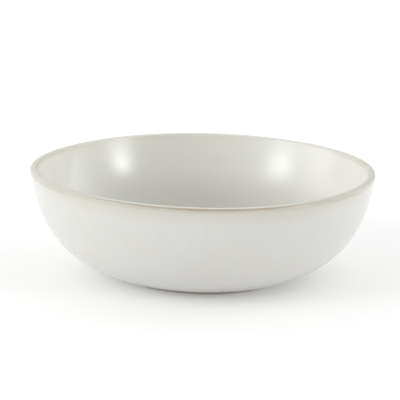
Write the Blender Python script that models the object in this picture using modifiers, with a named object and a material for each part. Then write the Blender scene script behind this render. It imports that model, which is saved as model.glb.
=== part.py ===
"""Porcelain serving bowl: a turned clay body on a low foot ring, and the coats of glaze fused to it.

Run it with: blender --background --python part.py
Metres, +Z up. The origin is the centre of the foot ring's contact face, and the bowl is turned about Z.

A section is a list of (radius, height) points. It travels from the axis out along the inside of the
bowl, up over the lip and down the outside, so the clay is always on the right-hand side of the travel.
"""
from math import cos, pi, radians, sin

import bpy
from mathutils import Vector
from mathutils.geometry import interpolate_bezier

# Driving dimensions of the finished, glazed bowl.
RIM_RADIUS = 0.127
HEIGHT = 0.079
LIP_THICKNESS = 0.0052
LIP_ROUND = 0.0018
LIP_LEAN = radians(8.6)

# The outside wall is one cubic curve. Each pull is the length of the curve's handle at that end.
WALL_START_RADIUS = 0.0622
WALL_START_HEIGHT = 0.002
WALL_START_SLOPE = radians(11.3)
WALL_START_PULL = 0.0406
WALL_END_PULL = 0.0409
WALL_START_THICKNESS = 0.0072

# The floor is a shallow dish between the foot of the wall and the axis.
FLOOR_HEIGHT = 0.0076
FLOOR_EDGE_PULL = 0.007
FLOOR_MIDDLE_PULL = 0.03

# Foot ring and the recess inside it.
FOOT_WIDTH = 0.0048
FOOT_ROUND = 0.0006
WELL_HEIGHT = 0.0024

# Coats of glaze, with the clearance that keeps each coat apart from the clay and from the next coat.
GLAZE = 0.0005
GAP = 0.0003

# Facets.
STEPS_AROUND = 64
STEPS_WALL = 9
STEPS_FLOOR = 4
STEPS_CORNER = 3
STEPS_FOOT_EDGE = 2
MERGE_DISTANCE = 0.00005


def polar(length, angle):
    """A vector of this length, at this angle above the radial direction."""
    return Vector((length * cos(angle), length * sin(angle)))


def arc(centre, radius, start, end, steps):
    """Points along a round corner of the section."""
    return [centre + polar(radius, start + (end - start) * i / steps) for i in range(steps + 1)]


def cubic(start, start_handle, end_handle, end, steps):
    """Points along a cubic curve."""
    return interpolate_bezier(start, start_handle, end_handle, end, steps + 1)


def inset(line, start_depth, end_depth):
    """The line moved into the clay, square to itself. A point on the axis stays on the axis."""
    moved = []
    for i, point in enumerate(line):
        before = line[max(i - 1, 0)]
        after = line[min(i + 1, len(line) - 1)]
        travel = (after - before).normalized()
        depth = start_depth + (end_depth - start_depth) * i / (len(line) - 1)
        inner = point + depth * Vector((travel.y, -travel.x))
        if point.x == 0.0:
            inner = point - Vector((0.0, depth))
        moved.append(inner)
    return moved


def trimmed(line, at_start, at_end):
    """The line with its ends drawn back along their own segments."""
    start = line[0] + at_start * (line[1] - line[0]).normalized()
    end = line[-1] + at_end * (line[-2] - line[-1]).normalized()
    return [start] + line[1:-1] + [end]


def outside_wall():
    """The outside of the wall, from the lip down to the foot ring."""
    lip_centre = Vector((RIM_RADIUS - LIP_ROUND, HEIGHT - LIP_ROUND))
    shoulder = lip_centre + polar(LIP_ROUND, -LIP_LEAN)
    foot = Vector((WALL_START_RADIUS, WALL_START_HEIGHT))
    shoulder_handle = shoulder - polar(WALL_END_PULL, pi / 2 - LIP_LEAN)
    foot_handle = foot + polar(WALL_START_PULL, WALL_START_SLOPE)
    return cubic(shoulder, shoulder_handle, foot_handle, foot, STEPS_WALL)


def inside_wall(outside):
    """The inside of the wall, from the floor up to the lip, a little thicker at the foot."""
    inside = inset(outside, LIP_THICKNESS, WALL_START_THICKNESS)
    inside.reverse()
    return inside


def floor(inside):
    """The floor, from the axis out to the start of the inside wall."""
    middle = Vector((0.0, FLOOR_HEIGHT))
    edge = inside[0]
    edge_handle = edge - polar(FLOOR_EDGE_PULL, WALL_START_SLOPE)
    middle_handle = middle + Vector((FLOOR_MIDDLE_PULL, 0.0))
    return cubic(middle, middle_handle, edge_handle, edge, STEPS_FLOOR)


def lip(inside, outside):
    """The lip, level on top, with its two corners rounded to meet the walls."""
    inner_round = (HEIGHT - inside[-1].y) / (1.0 - sin(LIP_LEAN))
    inner_centre = inside[-1] - polar(inner_round, pi - LIP_LEAN)
    outer_centre = outside[0] - polar(LIP_ROUND, -LIP_LEAN)
    inner_corner = arc(inner_centre, inner_round, pi - LIP_LEAN, pi / 2, STEPS_CORNER)
    outer_corner = arc(outer_centre, LIP_ROUND, pi / 2, -LIP_LEAN, STEPS_CORNER)
    return inner_corner + outer_corner


def foot_ring(outer_radius):
    """The bare foot ring, from its outer edge under the contact face to the top of the recess."""
    outer_centre = Vector((outer_radius - FOOT_ROUND, FOOT_ROUND))
    inner_centre = Vector((outer_radius - FOOT_WIDTH + FOOT_ROUND, FOOT_ROUND))
    outer_edge = arc(outer_centre, FOOT_ROUND, 0.0, -pi / 2, STEPS_FOOT_EDGE)
    inner_edge = arc(inner_centre, FOOT_ROUND, -pi / 2, -pi, STEPS_FOOT_EDGE)
    recess = Vector((outer_radius - FOOT_WIDTH, WELL_HEIGHT + GLAZE + GAP))
    return outer_edge + inner_edge + [recess]


def ceramic_material(name, colour, roughness):
    """A glaze, or bare clay: only the colour and the roughness differ."""
    material = bpy.data.materials.new(name)
    material.use_nodes = True
    shader = material.node_tree.nodes["Principled BSDF"]
    shader.inputs["Base Color"].default_value = (*colour, 1.0)
    shader.inputs["Roughness"].default_value = roughness
    shader.inputs["Metallic"].default_value = 0.0
    material.diffuse_color = (*colour, 1.0)
    return material


def turned(name, outline, closed, material):
    """A solid turned about Z from an outline that starts and ends on the axis, or that is closed."""
    mesh = bpy.data.meshes.new(name)
    vertices = [(point.x, 0.0, point.y) for point in outline]
    edges = [(i, i + 1) for i in range(len(outline) - 1)]
    if closed:
        edges.append((len(outline) - 1, 0))
    mesh.from_pydata(vertices, edges, [])
    mesh.materials.append(material)
    piece = bpy.data.objects.new(name, mesh)
    screw = piece.modifiers.new("turn", "SCREW")
    screw.axis = "Z"
    screw.angle = 2.0 * pi
    screw.steps = STEPS_AROUND
    screw.render_steps = STEPS_AROUND
    screw.use_merge_vertices = True
    screw.merge_threshold = MERGE_DISTANCE
    screw.use_smooth_shade = True
    return piece


def coat(name, line, material):
    """A ring of glaze: the visible line and, one glaze thickness into the bowl, its back."""
    back = inset(line, GLAZE, GLAZE)
    return turned(name, line + back[::-1], True, material)


def lining(name, line, material):
    """A coat that starts on the axis, so its outline needs no closing edge."""
    back = inset(line, GLAZE, GLAZE)
    return turned(name, line + back[::-1], False, material)


def build_pieces():
    """Every piece of the bowl, worked out from one section."""
    white_glaze = ceramic_material("white_glaze", (0.80, 0.79, 0.75), 0.12)
    tan_glaze = ceramic_material("tan_glaze", (0.55, 0.48, 0.36), 0.25)
    bare_clay = ceramic_material("bare_clay", (0.60, 0.50, 0.38), 0.85)

    outside = outside_wall()
    inside = inside_wall(outside)
    lip_line = lip(inside, outside)
    inside_line = floor(inside) + inside[1:]

    clay_line = inset(inside_line + lip_line[1:] + outside[1:], GLAZE + GAP, GLAZE + GAP)
    foot_line = foot_ring(clay_line[-1].x)
    recess_radius = foot_line[-1].x
    recess_middle = Vector((0.0, foot_line[-1].y))

    well_radius = recess_radius - GAP
    well_line = [
        Vector((0.0, WELL_HEIGHT + GLAZE)),
        Vector((well_radius, WELL_HEIGHT + GLAZE)),
        Vector((well_radius, WELL_HEIGHT)),
        Vector((0.0, WELL_HEIGHT)),
    ]

    return [
        turned("clay_body", clay_line + foot_line + [recess_middle], False, bare_clay),
        lining("inner_glaze", trimmed(inside_line, 0.0, GAP), white_glaze),
        coat("lip_glaze", lip_line, tan_glaze),
        coat("outer_glaze", trimmed(outside, GAP, GAP), white_glaze),
        turned("foot_well_glaze", well_line, False, white_glaze),
    ]


def clear_scene():
    for existing in list(bpy.data.objects):
        bpy.data.objects.remove(existing, do_unlink=True)


def main():
    clear_scene()
    collection = bpy.data.collections.new("serving_bowl")
    bpy.context.scene.collection.children.link(collection)
    axis = bpy.data.objects.new("bowl_axis", None)
    collection.objects.link(axis)
    for piece in build_pieces():
        piece.parent = axis
        collection.objects.link(piece)


main()
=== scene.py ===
"""Looks of the porcelain serving bowl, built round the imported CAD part.

The bowl is turned about Z. A section is a list of (radius, height) points that travels from the axis out
along the inside of the bowl, up over the lip and down the outside, so the clay is on the right-hand side.
"""
from math import cos, pi, radians, sin

import bpy
from mathutils import Matrix, Vector
from mathutils.geometry import interpolate_bezier


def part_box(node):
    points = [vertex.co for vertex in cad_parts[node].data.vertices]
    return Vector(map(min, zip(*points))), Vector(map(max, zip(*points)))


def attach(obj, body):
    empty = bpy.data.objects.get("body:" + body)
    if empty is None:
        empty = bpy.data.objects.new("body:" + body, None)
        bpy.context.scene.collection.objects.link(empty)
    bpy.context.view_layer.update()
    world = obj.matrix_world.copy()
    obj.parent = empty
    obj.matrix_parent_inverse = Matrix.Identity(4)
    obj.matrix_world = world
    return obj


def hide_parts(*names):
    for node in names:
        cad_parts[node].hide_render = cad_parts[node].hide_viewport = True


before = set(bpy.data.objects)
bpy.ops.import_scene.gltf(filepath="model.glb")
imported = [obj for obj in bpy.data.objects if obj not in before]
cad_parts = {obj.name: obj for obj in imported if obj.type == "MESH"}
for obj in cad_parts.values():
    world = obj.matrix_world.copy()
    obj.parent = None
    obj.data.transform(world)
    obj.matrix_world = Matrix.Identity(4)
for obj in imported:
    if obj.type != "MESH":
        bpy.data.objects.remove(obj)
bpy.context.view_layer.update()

# Sizes of the glazed bowl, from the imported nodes.
LIP_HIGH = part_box("lip_glaze")[1]
WELL_LOW, WELL_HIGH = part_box("foot_well_glaze")
RIM_RADIUS = LIP_HIGH.x
HEIGHT = LIP_HIGH.z
WELL_RADIUS = WELL_HIGH.x
WELL_HEIGHT = WELL_LOW.z

# The section's own curves, as the CAD draws them. CLEARANCE is the gap left between the glaze and the clay.
LIP_THICKNESS = 0.0052
LIP_ROUND = 0.0018
LIP_LEAN = radians(8.6)
WALL_START_RADIUS = 0.0622
WALL_START_HEIGHT = 0.002
WALL_START_SLOPE = radians(11.3)
WALL_START_PULL = 0.0406
WALL_END_PULL = 0.0409
WALL_START_THICKNESS = 0.0072
FLOOR_HEIGHT = 0.0076
FLOOR_EDGE_PULL = 0.007
FLOOR_MIDDLE_PULL = 0.03
FOOT_WIDTH = 0.0048
FOOT_ROUND = 0.0006
GLAZE = 0.0005
CLEARANCE = 0.00004
WELL_FILLET = 0.0009

# How far the fired rim is from true, as small waves round it. Directions are anticlockwise from +X.
OVAL = 0.0005
OVAL_DIRECTION = radians(75)
THREE_SIDED = 0.0006
THREE_SIDED_DIRECTION = radians(55)
RIM_TILT = 0.0007
RIM_WAVE = 0.0004
RIM_WAVE_DIRECTION = radians(-20)

# Fineness of the visible surfaces.
STEPS_AROUND = 288
STEPS_WALL = 72
STEPS_FLOOR = 26
STEPS_CORNER = 14
STEPS_EDGE = 8
SHARP_ANGLE = radians(38)


# ---------------------------------------------------------------- the section

def polar(length, angle):
    """A vector of this length, at this angle above the radial direction."""
    return Vector((length * cos(angle), length * sin(angle)))


def arc(centre, radius, start, end, steps):
    """Points along a round corner of the section."""
    return [centre + polar(radius, start + (end - start) * i / steps) for i in range(steps + 1)]


def inset(line, start_depth, end_depth):
    """The line moved into the clay, square to itself. A point on the axis stays on the axis."""
    moved = []
    for i, point in enumerate(line):
        before = line[max(i - 1, 0)]
        after = line[min(i + 1, len(line) - 1)]
        travel = (after - before).normalized()
        depth = start_depth + (end_depth - start_depth) * i / (len(line) - 1)
        inner = point + depth * Vector((travel.y, -travel.x))
        if point.x == 0.0:
            inner = point - Vector((0.0, depth))
        moved.append(inner)
    return moved


def outside_wall():
    """The outside of the wall, from the lip down to the foot ring."""
    lip_centre = Vector((RIM_RADIUS - LIP_ROUND, HEIGHT - LIP_ROUND))
    shoulder = lip_centre + polar(LIP_ROUND, -LIP_LEAN)
    foot = Vector((WALL_START_RADIUS, WALL_START_HEIGHT))
    shoulder_handle = shoulder - polar(WALL_END_PULL, pi / 2 - LIP_LEAN)
    foot_handle = foot + polar(WALL_START_PULL, WALL_START_SLOPE)
    return interpolate_bezier(shoulder, shoulder_handle, foot_handle, foot, STEPS_WALL + 1)


def floor_line(edge):
    """The floor, from the axis out to the start of the inside wall."""
    middle = Vector((0.0, FLOOR_HEIGHT))
    edge_handle = edge - polar(FLOOR_EDGE_PULL, WALL_START_SLOPE)
    middle_handle = middle + Vector((FLOOR_MIDDLE_PULL, 0.0))
    return interpolate_bezier(middle, middle_handle, edge_handle, edge, STEPS_FLOOR + 1)


def lip_corners(inside, outside):
    """The two rounded corners of the lip, inner one first."""
    inner_round = (HEIGHT - inside[-1].y) / (1.0 - sin(LIP_LEAN))
    inner_centre = inside[-1] - polar(inner_round, pi - LIP_LEAN)
    outer_centre = outside[0] - polar(LIP_ROUND, -LIP_LEAN)
    inner_corner = arc(inner_centre, inner_round, pi - LIP_LEAN, pi / 2, STEPS_CORNER)
    outer_corner = arc(outer_centre, LIP_ROUND, pi / 2, -LIP_LEAN, STEPS_CORNER)
    return inner_corner, outer_corner


OUTSIDE = outside_wall()
INSIDE_WALL = inset(OUTSIDE, LIP_THICKNESS, WALL_START_THICKNESS)[::-1]
INSIDE = floor_line(INSIDE_WALL[0]) + INSIDE_WALL[1:]
INNER_CORNER, OUTER_CORNER = lip_corners(INSIDE, OUTSIDE)
INNER_EDGE = INNER_CORNER[STEPS_CORNER // 2]
OUTER_EDGE = OUTER_CORNER[STEPS_CORNER // 2]


# ---------------------------------------------------------------- turned meshes

def hand_made(radius, height, angle):
    """Where a point of the true turned form lies on a bowl that dried and was fired a little uneven."""
    rise = (height / HEIGHT) ** 2
    oval = OVAL * cos(2 * (angle - OVAL_DIRECTION))
    three_sided = THREE_SIDED * cos(3 * (angle - THREE_SIDED_DIRECTION))
    reach = radius * (1.0 + rise * (oval + three_sided) / RIM_RADIUS)
    lift = RIM_TILT * cos(angle) + RIM_WAVE * cos(3 * (angle - RIM_WAVE_DIRECTION))
    return reach * cos(angle), reach * sin(angle), height + rise * lift


def across_lip(point):
    """0 as far as the middle of the lip, rising to 1 at its outer edge."""
    middle = (INNER_EDGE.x + OUTER_EDGE.x) / 2
    return min(max((point.x - middle) / (OUTER_EDGE.x - middle), 0.0), 1.0)


def turned(name, outline, closed, outside):
    """A fine mesh turned about Z, from an outline and each point's share of the outside's colour.

    Each vertex stores that share, and how far it is from the lip's two edges.
    """
    vertices = []
    rings = []
    vertex_values = {"from_outer_edge": [], "from_inner_edge": [], "outside": []}
    for point, share in zip(outline, outside):
        steps = 1 if point.x == 0.0 else STEPS_AROUND
        start = len(vertices)
        for j in range(steps):
            vertices.append(hand_made(point.x, point.y, 2 * pi * j / STEPS_AROUND))
        vertex_values["from_outer_edge"] += [(point - OUTER_EDGE).length] * steps
        vertex_values["from_inner_edge"] += [(point - INNER_EDGE).length] * steps
        vertex_values["outside"] += [share] * steps
        rings.append([start + (j if steps > 1 else 0) for j in range(STEPS_AROUND)])
    pairs = list(zip(rings, rings[1:]))
    if closed:
        pairs.append((rings[-1], rings[0]))
    faces = []
    for upper, lower in pairs:
        for j in range(STEPS_AROUND):
            k = (j + 1) % STEPS_AROUND
            corners = [upper[j], lower[j], lower[k], upper[k]]
            faces.append(list(dict.fromkeys(corners)))
    mesh = bpy.data.meshes.new(name)
    mesh.from_pydata(vertices, [], faces)
    for attribute_name, values in vertex_values.items():
        mesh.attributes.new(attribute_name, "FLOAT", "POINT").data.foreach_set("value", values)
    mesh.shade_smooth()
    mesh.set_sharp_from_angle(angle=SHARP_ANGLE)
    piece = bpy.data.objects.new(name, mesh)
    bpy.context.scene.collection.objects.link(piece)
    return piece


def dress(piece, node, material):
    """The piece stands for its CAD node, takes the given material and rides on the bowl's one body."""
    piece.data.materials.append(material)
    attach(piece, "root")
    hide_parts(node)


def foot_glaze_edge(line):
    """The end of a coat, rolled over into a soft bead where the glaze stops at bare clay."""
    end = line[-1]
    travel = (line[-1] - line[-2]).normalized()
    inward = Vector((travel.y, -travel.x))
    bead = []
    for i in range(1, STEPS_EDGE + 1):
        turn = (pi / 2) * i / STEPS_EDGE
        bead.append(end + GLAZE * (travel * sin(turn) + inward * (1 - cos(turn))))
    return bead


def well_section():
    """The glaze inside the foot ring: level in the middle, drawn up against the ring in a small fillet."""
    back = WELL_HEIGHT + GLAZE
    fillet_centre = Vector((WELL_RADIUS - WELL_FILLET, WELL_HEIGHT - WELL_FILLET))
    fillet = arc(fillet_centre, WELL_FILLET, pi / 2, 0.0, STEPS_EDGE)
    return [Vector((0.0, back)), Vector((WELL_RADIUS, back))] + fillet[::-1] + [Vector((0.0, WELL_HEIGHT))]


def foot_section(outer_radius, recess_top):
    """The bare foot ring and the top of the recess inside it, from the ring's outer edge to the axis."""
    inner_radius = outer_radius - FOOT_WIDTH
    outer_centre = Vector((outer_radius - FOOT_ROUND, FOOT_ROUND))
    inner_centre = Vector((inner_radius + FOOT_ROUND, FOOT_ROUND))
    outer_edge = arc(outer_centre, FOOT_ROUND, 0.0, -pi / 2, STEPS_EDGE)
    inner_edge = arc(inner_centre, FOOT_ROUND, -pi / 2, -pi, STEPS_EDGE)
    recess = [Vector((inner_radius, recess_top)), Vector((0.0, recess_top))]
    return outer_edge + inner_edge + recess


def build_bowl(materials):
    """The clay body and its four coats."""
    lip_line = INNER_CORNER + OUTER_CORNER
    clay_depth = GLAZE + CLEARANCE
    clay_line = inset(INSIDE + lip_line[1:] + OUTSIDE[1:], clay_depth, clay_depth)
    clay_outline = clay_line + foot_section(clay_line[-1].x, WELL_HEIGHT + clay_depth)
    clay = turned("clay_body_visual", clay_outline, False, [0.0] * len(clay_outline))
    dress(clay, "clay_body", materials["clay"])

    inner_outline = INSIDE + inset(INSIDE, GLAZE, GLAZE)[::-1]
    inner = turned("inner_glaze_visual", inner_outline, False, [0.0] * len(inner_outline))
    dress(inner, "inner_glaze", materials["glaze"])

    lip_outline = lip_line + inset(lip_line, GLAZE, GLAZE)[::-1]
    lip = turned("lip_glaze_visual", lip_outline, True, [across_lip(point) for point in lip_outline])
    dress(lip, "lip_glaze", materials["glaze"])

    outer_front = OUTSIDE[:-1] + foot_glaze_edge(OUTSIDE[:-1])
    outer_outline = outer_front + inset(OUTSIDE[:-1], GLAZE, GLAZE)[::-1]
    outer = turned("outer_glaze_visual", outer_outline, True, [1.0] * len(outer_outline))
    dress(outer, "outer_glaze", materials["glaze"])

    well_outline = well_section()
    well = turned("foot_well_glaze_visual", well_outline, False, [1.0] * len(well_outline))
    dress(well, "foot_well_glaze", materials["glaze"])


# ---------------------------------------------------------------- materials

# Blender's noise seldom goes below the first value or above the second.
NOISE_LOW = 0.3
NOISE_HIGH = 0.7


class Nodes:
    """Short names for making a material's nodes."""

    def __init__(self, name):
        self.material = bpy.data.materials.new(name)
        self.material.use_nodes = True
        self.tree = self.material.node_tree
        self.shader = self.tree.nodes["Principled BSDF"]

    def add(self, kind, **settings):
        node = self.tree.nodes.new("ShaderNode" + kind)
        for key, value in settings.items():
            setattr(node, key, value)
        return node

    def link(self, value, socket):
        """A number or colour is set on the socket; an output is linked to it."""
        if isinstance(value, bpy.types.NodeSocket):
            self.tree.links.new(value, socket)
        else:
            socket.default_value = value

    def position(self):
        return self.add("TexCoord").outputs["Object"]

    def axis(self, letter):
        node = self.add("SeparateXYZ")
        self.link(self.position(), node.inputs["Vector"])
        return node.outputs[letter]

    def attribute(self, name):
        return self.add("Attribute", attribute_name=name).outputs["Fac"]

    def maths(self, operation, first, second=0.0):
        node = self.add("Math", operation=operation)
        self.link(first, node.inputs[0])
        self.link(second, node.inputs[1])
        return node.outputs[0]

    def noise(self, scale, detail=2.0, roughness=0.5, upright=1.0):
        """Noise from 0 to 1. The scale is in bumps per metre, and an upright under 1 draws them out tall."""
        stretch = self.add("VectorMath", operation="MULTIPLY")
        self.link(self.position(), stretch.inputs[0])
        stretch.inputs[1].default_value = (1.0, 1.0, upright)
        node = self.add("TexNoise")
        self.link(stretch.outputs["Vector"], node.inputs["Vector"])
        node.inputs["Scale"].default_value = scale
        node.inputs["Detail"].default_value = detail
        node.inputs["Roughness"].default_value = roughness
        return node.outputs["Fac"]

    def uneven(self, scale, low, high, detail=3.0):
        """A soft random value from low to high."""
        return self.span(self.noise(scale, detail), NOISE_LOW, NOISE_HIGH, low, high)

    def span(self, value, low, high, out_low=0.0, out_high=1.0):
        """The value's place between low and high, eased, as a place between out_low and out_high."""
        node = self.add("MapRange", interpolation_type="SMOOTHSTEP")
        self.link(value, node.inputs["Value"])
        node.inputs["From Min"].default_value = low
        node.inputs["From Max"].default_value = high
        node.inputs["To Min"].default_value = out_low
        node.inputs["To Max"].default_value = out_high
        return node.outputs["Result"]

    def mix(self, share, first, second):
        node = self.add("Mix", data_type="RGBA")
        self.link(share, node.inputs["Factor"])
        self.link(first, node.inputs["A"])
        self.link(second, node.inputs["B"])
        return node.outputs["Result"]

    def bump(self, height, distance, strength, normal=None):
        node = self.add("Bump")
        self.link(height, node.inputs["Height"])
        node.inputs["Distance"].default_value = distance
        node.inputs["Strength"].default_value = strength
        if normal is not None:
            self.link(normal, node.inputs["Normal"])
        return node.outputs["Normal"]


# White glaze: greyer outside and darker and warmer on the floor, both painted shade; cream near the lip, tan
# on its edges.
WHITE_INSIDE = (0.69, 0.688, 0.652, 1.0)
# The floor's white is darker and warmer than the wall's, as a painted shade in the hollow of the bowl.
WHITE_FLOOR_PAINTED_SHADE = (0.62, 0.62, 0.57, 1.0)
# The outside's white and cream are darker than the inside's, as a painted shade on the outer wall.
WHITE_OUTSIDE_PAINTED_SHADE = (0.605, 0.601, 0.578, 1.0)
CREAM_INSIDE = (0.69, 0.68, 0.615, 1.0)
CREAM_OUTSIDE_PAINTED_SHADE = (0.56, 0.544, 0.487, 1.0)
TAN = (0.33, 0.275, 0.185, 1.0)
GLAZE_IOR = 1.52

# Heights between which the inside changes from the wall's colour to the floor's darker, warmer painted
# shade.
WALL_COLOUR_HEIGHT = 0.055
FLOOR_SHADE_HEIGHT = 0.028

# The cream bands are at full strength this near the lip's edge, and gone at the second distance from it.
CREAM_OUTSIDE_FULL = 0.0030
CREAM_OUTSIDE_GONE = 0.0150
CREAM_INSIDE_FULL = 0.0020
CREAM_INSIDE_GONE = 0.0090
CREAM_WANDER = 0.0012
CREAM_WANDER_SCALE = 28.0

# The outside band is this much narrower behind the second place along Y than before the first.
CREAM_RECEDES = 0.006
CREAM_RECEDES_BETWEEN = (-0.12, -0.03)

# The inside band falls to this strength on the +X side, between these places along X.
CREAM_INSIDE_WEAK = 0.35
CREAM_INSIDE_WEAK_BETWEEN = (0.08, -0.02)

# The tan lines on the lip's two edges and the weaker tan beside the outer one; the shade on top of the lip
# is painted shade.
TAN_OUTER_FULL = 0.0005
TAN_OUTER_GONE = 0.0014
TAN_INNER_FULL = 0.0004
TAN_INNER_GONE = 0.0012
TAN_INNER_STRENGTH = 0.7
TAN_WANDER = 0.00015
TAN_WANDER_SCALE = 160.0
SHADE_OUTER_FULL = 0.0008
SHADE_OUTER_GONE = 0.0042
SHADE_OUTER_STRENGTH = 0.45
PAINTED_SHADE_TOP_FULL = 0.0020
PAINTED_SHADE_TOP_GONE = 0.0030
PAINTED_SHADE_TOP_STRENGTH = 0.4
OUTSIDE_SHARE_WITH_LINE = 0.6

# The lip's marks change round the bowl. At the front, towards -Y, the outer line is strong and the inner
#  one is nearly lost. The inner line and the shade on top are strongest at the sides, as painted shade, and
#  weak at the back.
FRONT_BETWEEN = (-0.088, -0.129)
FRONT_WEAKEST = 0.2
FRONT_HIDES_INNER = 0.9
BACK_BETWEEN = (0.10, 0.03)
BACK_WEAKEST = 0.3
PATCHES_SCALE = 30.0
PATCHES_WEAKEST = 0.7

# Faint clouds and upright streaks of cream in the white.
CLOUDS_SCALE = 22.0
CLOUDS_STRENGTH = 0.14
STREAKS_SCALE = 130.0
STREAKS_ROUGHNESS = 0.6
STREAKS_UPRIGHT = 0.12
STREAKS_LOW = 0.35
STREAKS_STRENGTH = 0.16

# Gloss, with slow ripples and fine dimples in the glaze.
GLAZE_ROUGHNESS = (0.10, 0.16)
GLAZE_ROUGHNESS_SCALE = 45.0
RIPPLE_SCALE = 40.0
RIPPLE_DEPTH = 0.00025
RIPPLE_STRENGTH = 0.4
DIMPLE_SCALE = 420.0
DIMPLE_DEPTH = 0.000012
DIMPLE_STRENGTH = 0.5

# Bare fired clay.
CLAY_DARK = (0.36, 0.325, 0.275, 1.0)
CLAY_PALE = (0.50, 0.46, 0.40, 1.0)
CLAY_GRAIN_SCALE = 900.0
CLAY_ROUGHNESS = (0.75, 0.92)
CLAY_ROUGHNESS_SCALE = 700.0
CLAY_BUMP_SCALE = 2500.0
CLAY_BUMP_DEPTH = 0.0001
CLAY_BUMP_STRENGTH = 0.8


def cream_share(n, from_outer, from_inner):
    """How much cream shows: a band below each edge of the lip, with a wandering border."""
    wander = n.uneven(CREAM_WANDER_SCALE, -CREAM_WANDER, CREAM_WANDER)
    recede = n.span(n.axis("Y"), *CREAM_RECEDES_BETWEEN, 0.0, CREAM_RECEDES)
    below_outer = n.maths("ADD", n.maths("ADD", from_outer, wander), recede)
    below_inner = n.maths("ADD", from_inner, wander)
    side = n.span(n.axis("X"), *CREAM_INSIDE_WEAK_BETWEEN, CREAM_INSIDE_WEAK, 1.0)
    cream_outside = n.span(below_outer, CREAM_OUTSIDE_GONE, CREAM_OUTSIDE_FULL)
    cream_inside = n.maths("MULTIPLY", n.span(below_inner, CREAM_INSIDE_GONE, CREAM_INSIDE_FULL), side)
    return n.maths("MAXIMUM", cream_outside, cream_inside)


def tan_and_painted_shade_share(n, outside, from_outer, from_inner):
    """How much tan shows: a line on each edge of the lip and a weaker tan beside the outer one, with painted
    shade on the inner line and on top of the lip at the sides.
    """
    front = n.span(n.axis("Y"), *FRONT_BETWEEN, FRONT_WEAKEST, 1.0)
    back = n.span(n.axis("Y"), *BACK_BETWEEN, BACK_WEAKEST, 1.0)
    wander = n.uneven(TAN_WANDER_SCALE, -TAN_WANDER, TAN_WANDER)
    patches = n.uneven(PATCHES_SCALE, PATCHES_WEAKEST, 1.0, detail=2.0)

    outer_line = n.span(n.maths("ADD", from_outer, wander), TAN_OUTER_GONE, TAN_OUTER_FULL)
    outer_line = n.maths("MULTIPLY", outer_line, n.span(outside, OUTSIDE_SHARE_WITH_LINE, 1.0))
    outer_shade = n.span(from_outer, SHADE_OUTER_GONE, SHADE_OUTER_FULL, 0.0, SHADE_OUTER_STRENGTH)
    outer_shade = n.maths("MULTIPLY", outer_shade, outside)
    outer_tan = n.maths("MULTIPLY", n.maths("MAXIMUM", outer_line, outer_shade), front)

    below_inner = n.maths("ADD", from_inner, wander)
    # The inner line is made strongest at the sides, as painted shade.
    inner_line = n.span(below_inner, TAN_INNER_GONE, TAN_INNER_FULL, 0.0, TAN_INNER_STRENGTH)
    inner_shade_at_sides = n.maths("SUBTRACT", back, n.maths("MULTIPLY", front, FRONT_HIDES_INNER))
    inner_tan_and_painted_shade = n.maths("MULTIPLY", inner_line, inner_shade_at_sides)

    # Painted shade on top of the lip, strongest at the sides.
    from_edge = n.maths("MINIMUM", from_outer, from_inner)
    painted_top_shade = n.span(from_edge, PAINTED_SHADE_TOP_GONE, PAINTED_SHADE_TOP_FULL, 0.0, PAINTED_SHADE_TOP_STRENGTH)
    top_painted_shade = n.maths("MULTIPLY", painted_top_shade, n.maths("SUBTRACT", back, front))

    tan = n.maths("MAXIMUM", n.maths("MAXIMUM", outer_tan, inner_tan_and_painted_shade), top_painted_shade)
    return n.maths("MULTIPLY", tan, patches)


def cloudiness(n):
    """Faint clouds and upright streaks in the white."""
    clouds = n.uneven(CLOUDS_SCALE, 0.0, CLOUDS_STRENGTH, detail=4.0)
    streaks = n.noise(STREAKS_SCALE, detail=3.0, roughness=STREAKS_ROUGHNESS, upright=STREAKS_UPRIGHT)
    streaks = n.span(streaks, STREAKS_LOW, NOISE_HIGH, 0.0, STREAKS_STRENGTH)
    return n.maths("ADD", clouds, streaks)


def glaze_material():
    """Glossy warm white glaze that turns cream near the lip and breaks to tan on the lip's two edges, with
    painted shade on the outside, on the floor, and on the lip's top and inner edge at the sides.
    """
    n = Nodes("white_glaze_tan_and_painted_shade")
    outside = n.attribute("outside")
    from_outer = n.attribute("from_outer_edge")
    from_inner = n.attribute("from_inner_edge")

    floor_shade_share = n.span(n.axis("Z"), WALL_COLOUR_HEIGHT, FLOOR_SHADE_HEIGHT)
    white = n.mix(outside, n.mix(floor_shade_share, WHITE_INSIDE, WHITE_FLOOR_PAINTED_SHADE), WHITE_OUTSIDE_PAINTED_SHADE)
    cream = n.mix(outside, CREAM_INSIDE, CREAM_OUTSIDE_PAINTED_SHADE)
    cream_shows = n.maths("MAXIMUM", cream_share(n, from_outer, from_inner), cloudiness(n))
    colour = n.mix(cream_shows, white, cream)
    tan_and_shade_shows = tan_and_painted_shade_share(n, outside, from_outer, from_inner)
    n.link(n.mix(tan_and_shade_shows, colour, TAN), n.shader.inputs["Base Color"])

    n.link(n.uneven(GLAZE_ROUGHNESS_SCALE, *GLAZE_ROUGHNESS, detail=4.0), n.shader.inputs["Roughness"])
    n.shader.inputs["IOR"].default_value = GLAZE_IOR
    ripple = n.bump(n.noise(RIPPLE_SCALE), RIPPLE_DEPTH, RIPPLE_STRENGTH)
    dimples = n.bump(n.noise(DIMPLE_SCALE), DIMPLE_DEPTH, DIMPLE_STRENGTH, ripple)
    n.link(dimples, n.shader.inputs["Normal"])
    return n.material


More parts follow.
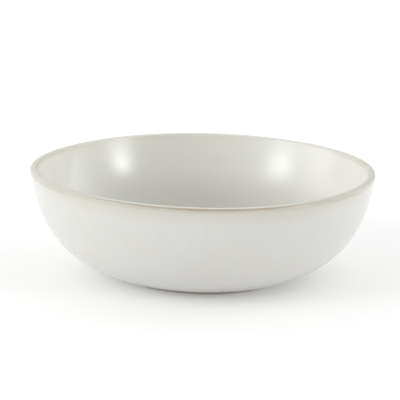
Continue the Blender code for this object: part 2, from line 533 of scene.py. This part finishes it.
def clay_material():
    """Bare fired clay, with a fine grain."""
    n = Nodes("bare_fired_clay")
    colour = n.mix(n.noise(CLAY_GRAIN_SCALE, detail=4.0), CLAY_DARK, CLAY_PALE)
    n.link(colour, n.shader.inputs["Base Color"])
    n.link(n.uneven(CLAY_ROUGHNESS_SCALE, *CLAY_ROUGHNESS), n.shader.inputs["Roughness"])
    grain = n.bump(n.noise(CLAY_BUMP_SCALE, detail=4.0), CLAY_BUMP_DEPTH, CLAY_BUMP_STRENGTH)
    n.link(grain, n.shader.inputs["Normal"])
    return n.material


# ---------------------------------------------------------------- stage

CAMERA_DISTANCE = 10.0 * RIM_RADIUS
CAMERA_ELEVATION = radians(14.2)
CAMERA_ROLL = radians(1.45)
CAMERA_AIM_RIGHT = radians(-0.078)
CAMERA_AIM_UP = radians(0.639)
CAMERA_LENS = 154.3
CAMERA_SENSOR = 36.0

FLOOR_SIZE = 14.0
FLOOR_WHITE = 0.9
FLOOR_ROUGHNESS = 0.9
FLOOR_GLOW = 0.13


def add_camera():
    """The camera looks at the middle of the bowl, then aims a little to one side and up."""
    middle = Vector((0.0, 0.0, HEIGHT / 2))
    away = Vector((0.0, -cos(CAMERA_ELEVATION), sin(CAMERA_ELEVATION)))
    look = Matrix.Rotation(pi / 2 - CAMERA_ELEVATION, 4, "X")
    roll = Matrix.Rotation(CAMERA_ROLL, 4, "Z")
    aim = Matrix.Rotation(-CAMERA_AIM_RIGHT, 4, "Y") @ Matrix.Rotation(CAMERA_AIM_UP, 4, "X")
    data = bpy.data.cameras.new("camera")
    data.lens = CAMERA_LENS
    data.sensor_width = CAMERA_SENSOR
    camera = bpy.data.objects.new("camera", data)
    bpy.context.scene.collection.objects.link(camera)
    camera.matrix_world = Matrix.Translation(middle + CAMERA_DISTANCE * away) @ look @ roll @ aim
    bpy.context.scene.camera = camera


def add_floor():
    """A wide, plain, pale floor with a faint even glow, so that its shadows stay light."""
    half = FLOOR_SIZE / 2
    mesh = bpy.data.meshes.new("floor")
    corners = [(-half, -half, 0.0), (half, -half, 0.0), (half, half, 0.0), (-half, half, 0.0)]
    mesh.from_pydata(corners, [], [(0, 1, 2, 3)])
    n = Nodes("floor")
    n.shader.inputs["Base Color"].default_value = (FLOOR_WHITE, FLOOR_WHITE, FLOOR_WHITE, 1.0)
    n.shader.inputs["Roughness"].default_value = FLOOR_ROUGHNESS
    n.shader.inputs["Specular IOR Level"].default_value = 0.0
    n.shader.inputs["Emission Color"].default_value = (1.0, 1.0, 1.0, 1.0)
    n.shader.inputs["Emission Strength"].default_value = FLOOR_GLOW
    mesh.materials.append(n.material)
    floor = bpy.data.objects.new("floor", mesh)
    bpy.context.scene.collection.objects.link(floor)


# The studio is a dark room with soft patches of light: azimuth, elevation, spread and brightness.
# Azimuth 0 is the camera's side and 90 is +X. Azimuths, elevations and spreads are in degrees.
SOFT_LIGHTS = {
    "softbox_right": (65.0, 17.5, 6.0, 8.5),
    "softbox_right_foot": (65.0, 4.0, 9.0, 3.5),
    "softbox_left": (-60.0, 21.0, 8.0, 6.0),
    "softbox_left_foot": (-60.0, 6.0, 10.0, 1.0),
    "front_left": (-45.0, 20.0, 25.0, 1.5),
    "front_right": (45.0, 20.0, 25.0, 0.35),
    "low_left": (-90.0, 5.0, 15.0, 2.5),
    "low_right": (115.0, 5.0, 20.0, 2.5),
    "high_right": (90.0, 55.0, 25.0, 0.7),
    "back": (180.0, 35.0, 30.0, 0.7),
    "back_left": (-135.0, 20.0, 25.0, 1.2),
}


def patch_of_light(tree, direction, azimuth, elevation, spread, brightness, others):
    """One patch's brightness in a direction, added to that of the other patches."""
    a = radians(azimuth)
    e = radians(elevation)
    sharpness = 1.0 / radians(spread) ** 2
    nearness = tree.nodes.new("ShaderNodeVectorMath")
    nearness.operation = "DOT_PRODUCT"
    nearness.inputs[1].default_value = (sin(a) * cos(e), -cos(a) * cos(e), sin(e))
    tree.links.new(direction, nearness.inputs[0])
    exponent = tree.nodes.new("ShaderNodeMath")
    exponent.operation = "MULTIPLY_ADD"
    exponent.inputs[1].default_value = sharpness
    exponent.inputs[2].default_value = -sharpness
    tree.links.new(nearness.outputs["Value"], exponent.inputs[0])
    glow = tree.nodes.new("ShaderNodeMath")
    glow.operation = "EXPONENT"
    tree.links.new(exponent.outputs[0], glow.inputs[0])
    total = tree.nodes.new("ShaderNodeMath")
    total.operation = "MULTIPLY_ADD"
    total.inputs[1].default_value = brightness
    total.inputs[2].default_value = 0.0
    tree.links.new(glow.outputs[0], total.inputs[0])
    if others is not None:
        tree.links.new(others, total.inputs[2])
    return total.outputs[0]


def add_lights():
    """Each patch of light is brightest in its middle and fades away smoothly, without an edge."""
    world = bpy.data.worlds.new("studio")
    world.use_nodes = True
    tree = world.node_tree
    background = tree.nodes["Background"]
    background.inputs["Color"].default_value = (1.0, 1.0, 1.0, 1.0)
    direction = tree.nodes.new("ShaderNodeTexCoord").outputs["Generated"]
    total = None
    for azimuth, elevation, spread, brightness in SOFT_LIGHTS.values():
        total = patch_of_light(tree, direction, azimuth, elevation, spread, brightness, total)
    tree.links.new(total, background.inputs["Strength"])
    bpy.context.scene.world = world
    bpy.context.scene.view_settings.view_transform = "Standard"


add_camera()
build_bowl({"glaze": glaze_material(), "clay": clay_material()})
add_floor()
add_lights()
